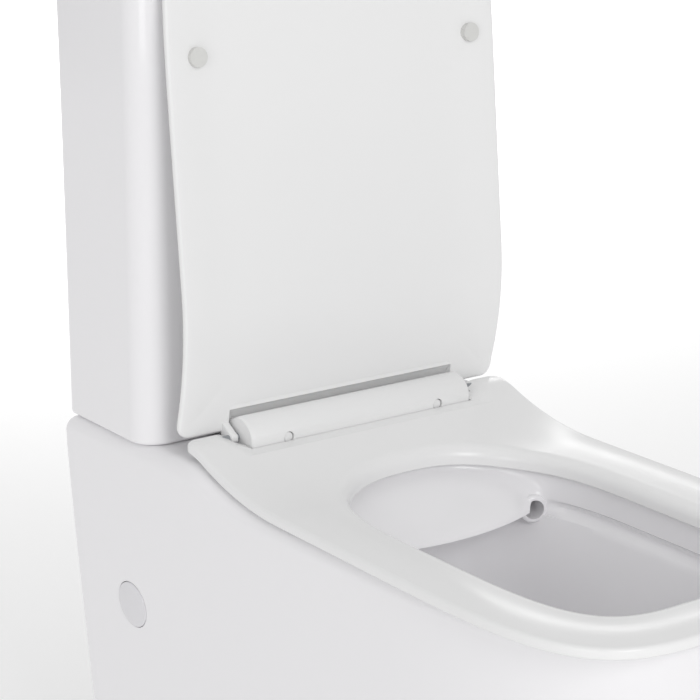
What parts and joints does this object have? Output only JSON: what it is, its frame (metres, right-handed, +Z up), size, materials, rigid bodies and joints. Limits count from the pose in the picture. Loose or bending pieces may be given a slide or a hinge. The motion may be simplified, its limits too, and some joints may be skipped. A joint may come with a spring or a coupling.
{
  "type": "close coupled toilet",
  "caption": "Back-to-wall close coupled toilet with a rounded square seat, an open soft-close lid, a slim cistern with a dual flush button, and its hinge, flush and fill fittings.",
  "frame": {"origin": "on the floor under the middle of the toilet's bounding box", "axes": "+Z up, +Y towards the wall behind the cistern, the bowl's front faces -Y"},
  "size_m": [0.3646, 0.653, 0.9107],
  "materials": {
    "glazed_vitreous_china": "clear gloss glaze on white vitreous china",
    "seat_duroplast": "pressed urea resin, polished",
    "white_plastic": "injection moulded, satin",
    "grey_plastic": "injection moulded, fine texture",
    "blue_plastic": "injection moulded",
    "rubber": "moulded black rubber",
    "pale_rubber": "moulded white rubber",
    "chrome": "bright plated",
    "steel": "drawn stainless steel",
    "brass": "turned brass"
  },
  "bodies": {
    "toilet_body": {"pan": "glazed_vitreous_china", "cistern_tank": "glazed_vitreous_china", "flush_valve_body": "white_plastic", "flush_valve_head": "blue_plastic", "flush_backnut": "white_plastic", "doughnut_gasket": "rubber", "fill_valve": "white_plastic", "inlet_nut": "brass", "hinge_base_plate_left": "steel", "hinge_base_plate_right": "steel", "hinge_bolt_left": "steel", "hinge_bolt_right": "steel", "hinge_washer_left": "rubber", "hinge_washer_right": "rubber", "hinge_wing_nut_left": "white_plastic", "hinge_wing_nut_right": "white_plastic", "coupling_bolt_left": "brass", "coupling_bolt_right": "brass", "coupling_seal_left": "rubber", "coupling_seal_right": "rubber", "coupling_nut_left": "brass", "coupling_nut_right": "brass", "access_cap_left": "white_plastic", "access_cap_right": "white_plastic", "fixing_cap_left": "white_plastic", "fixing_cap_right": "white_plastic", "side_screw_left": "steel", "side_screw_right": "steel", "floor_bracket_left": "steel", "floor_bracket_right": "steel"},
    "hinge_carrier": {"hinge_cover": "seat_duroplast", "hinge_post_left": "grey_plastic", "hinge_post_right": "grey_plastic", "hinge_pin_left": "steel", "hinge_pin_right": "steel", "hinge_damper_left": "grey_plastic", "hinge_damper_right": "grey_plastic"},
    "seat": {"seat_ring": "seat_duroplast", "seat_buffer_1": "pale_rubber", "seat_buffer_2": "pale_rubber", "seat_buffer_3": "pale_rubber", "seat_buffer_4": "pale_rubber"},
    "lid": {"seat_lid": "seat_duroplast", "lid_buffer_1": "pale_rubber", "lid_buffer_2": "pale_rubber"},
    "release_left": {"release_button_left": "seat_duroplast"},
    "release_right": {"release_button_right": "seat_duroplast"},
    "cistern_cover": {"cistern_lid": "glazed_vitreous_china", "button_housing": "chrome", "housing_bridge": "white_plastic", "full_return_spring": "steel", "half_return_spring": "steel"},
    "full_button": {"full_flush_button": "chrome", "full_push_rod": "white_plastic"},
    "half_button": {"half_flush_button": "chrome", "half_push_rod": "white_plastic"},
    "float": {"float_cup": "blue_plastic"},
    "valve": {"flush_valve_tube": "grey_plastic", "flush_valve_seal": "rubber"}
  },
  "joints": [
    {"name": "seat_quick_release", "type": "slide", "parent": "toilet_body", "child": "hinge_carrier", "axis": [0, 0, 1], "range_m": [0, 0.06]},
    {"name": "lid_hinge", "type": "hinge", "parent": "hinge_carrier", "child": "lid", "pos_m": [0, 0.1539, 0.43101], "axis": [-1, 0, 0], "range_deg": [-95, 0]},
    {"name": "seat_hinge", "type": "hinge", "parent": "hinge_carrier", "child": "seat", "pos_m": [0, 0.1539, 0.43101], "axis": [-1, 0, 0], "range_deg": [0, 92]},
    {"name": "release_left_press", "type": "slide", "parent": "hinge_carrier", "child": "release_left", "axis": [0, -1, 0], "range_m": [-0.003, 0], "stiffness_N_per_m": 300, "springref_m": 0.004},
    {"name": "release_right_press", "type": "slide", "parent": "hinge_carrier", "child": "release_right", "axis": [0, -1, 0], "range_m": [-0.003, 0], "stiffness_N_per_m": 300, "springref_m": 0.004},
    {"name": "cistern_lid_lift", "type": "slide", "parent": "toilet_body", "child": "cistern_cover", "axis": [0, 0, 1], "range_m": [0, 0.04]},
    {"name": "full_flush_press", "type": "slide", "parent": "cistern_cover", "child": "full_button", "axis": [0, 0, 1], "range_m": [-0.007, 0], "stiffness_N_per_m": 400, "springref_m": 0.01, "deforming": ["full_return_spring"]},
    {"name": "half_flush_press", "type": "slide", "parent": "cistern_cover", "child": "half_button", "axis": [0, 0, 1], "range_m": [-0.007, 0], "stiffness_N_per_m": 400, "springref_m": 0.01, "deforming": ["half_return_spring"]},
    {"name": "float_rise", "type": "slide", "parent": "toilet_body", "child": "float", "axis": [0, 0, 1], "range_m": [-0.05, 0]},
    {"name": "valve_lift", "type": "slide", "parent": "toilet_body", "child": "valve", "axis": [0, 0, 1], "range_m": [0, 0.01]}
  ],
  "couplings": [
    {"joint": "valve_lift", "follows": "full_flush_press", "ratio": -1.4}
  ]
}
